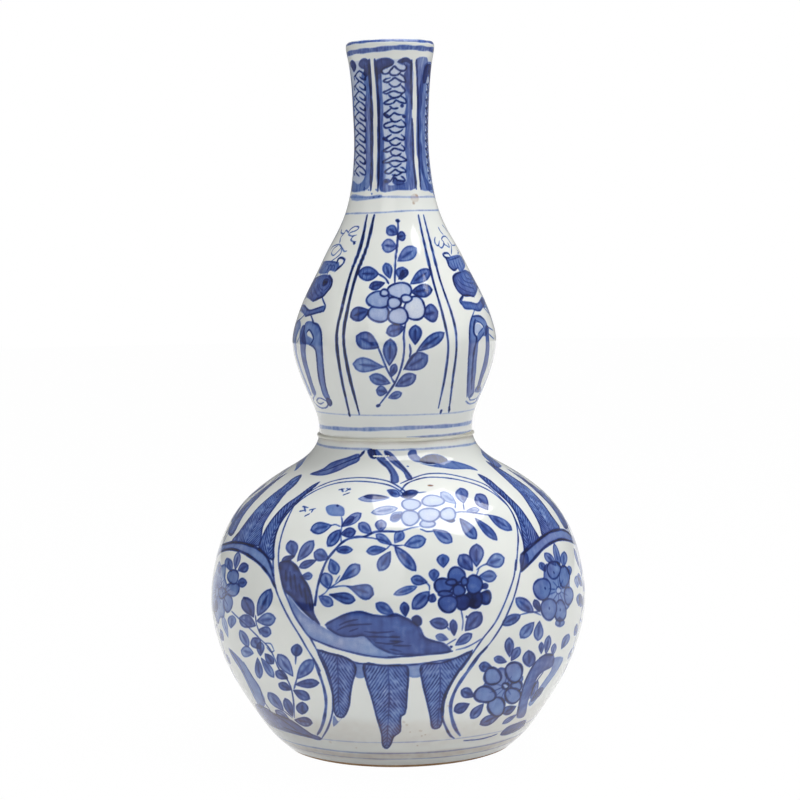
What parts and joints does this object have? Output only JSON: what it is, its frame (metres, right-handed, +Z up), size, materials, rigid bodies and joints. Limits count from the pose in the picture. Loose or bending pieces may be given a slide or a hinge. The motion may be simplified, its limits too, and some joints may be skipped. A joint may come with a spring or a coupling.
{
  "type": "double gourd vase",
  "caption": "Tall porcelain vase with a large round lower bulb, a narrow waist, a smaller pear-shaped upper bulb and a slender flared neck, on a low bare foot ring.",
  "frame": {"origin": "centre of the foot ring's resting face, on the vase's axis", "axes": "+Z up along the vase's axis, -Y towards the front panel, +X to the right seen from the front"},
  "size_m": [0.161, 0.161, 0.3],
  "materials": {
    "porcelain_body": "fired porcelain body without glaze, matt and close grained",
    "bare_foot": "bare fired porcelain, matt, burnt tan to orange brown at its edge",
    "luting_slip": "fired slip, matt, warmer than the body",
    "painted_glaze": "glossy faintly blue white glaze over cobalt blue painting",
    "plain_glaze": "glossy faintly grey white glaze"
  },
  "bodies": {
    "root": {"foot_ring": "bare_foot", "foot_slip": "luting_slip", "lower_bulb_bowl": "porcelain_body", "belly_slip": "luting_slip", "lower_bulb_dome": "porcelain_body", "waist_slip": "luting_slip", "upper_bulb_bowl": "porcelain_body", "bulb_slip": "luting_slip", "upper_bulb_dome": "porcelain_body", "neck_slip": "luting_slip", "neck_tube": "porcelain_body", "lower_bulb_glaze": "painted_glaze", "upper_bulb_glaze": "painted_glaze", "neck_glaze": "painted_glaze", "inner_glaze": "plain_glaze", "base_glaze": "plain_glaze"}
  },
  "joints": []
}
